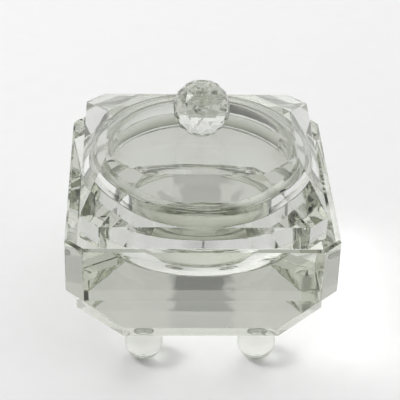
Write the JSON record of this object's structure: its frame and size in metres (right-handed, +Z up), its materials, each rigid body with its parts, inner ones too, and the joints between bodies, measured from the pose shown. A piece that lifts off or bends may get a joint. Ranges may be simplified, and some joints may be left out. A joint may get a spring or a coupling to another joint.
{
  "type": "lidded glass dish",
  "caption": "Square cut-glass dish with a round bowl, ball feet and a loose faceted lid with a faceted ball knob, for small amounts of liquid or powder.",
  "frame": {"origin": "on the surface that the dish stands on, under the middle of the block", "axes": "+Z up, +X across the dish's width, -Y towards its front"},
  "size_m": [0.064, 0.064, 0.0605],
  "materials": {
    "block_glass": "polished clear cut glass",
    "lid_glass": "polished clear cut glass",
    "knob_glass": "faceted clear glass",
    "foot_glass": "fire-polished clear glass",
    "clear_adhesive": "clear cured adhesive film"
  },
  "bodies": {
    "dish": {"dish_block": "block_glass", "foot_front_left": "foot_glass", "foot_front_right": "foot_glass", "foot_rear_left": "foot_glass", "foot_rear_right": "foot_glass", "foot_bond_front_left": "clear_adhesive", "foot_bond_front_right": "clear_adhesive", "foot_bond_rear_left": "clear_adhesive", "foot_bond_rear_right": "clear_adhesive"},
    "lid": {"lid_plate": "lid_glass", "lid_locating_ring": "lid_glass", "ring_bond": "clear_adhesive", "lid_knob": "knob_glass", "knob_bond": "clear_adhesive"}
  },
  "joints": [
    {"name": "lid_lift", "type": "slide", "parent": "dish", "child": "lid", "axis": [0, 0, 1], "range_m": [0, 0.05]}
  ]
}
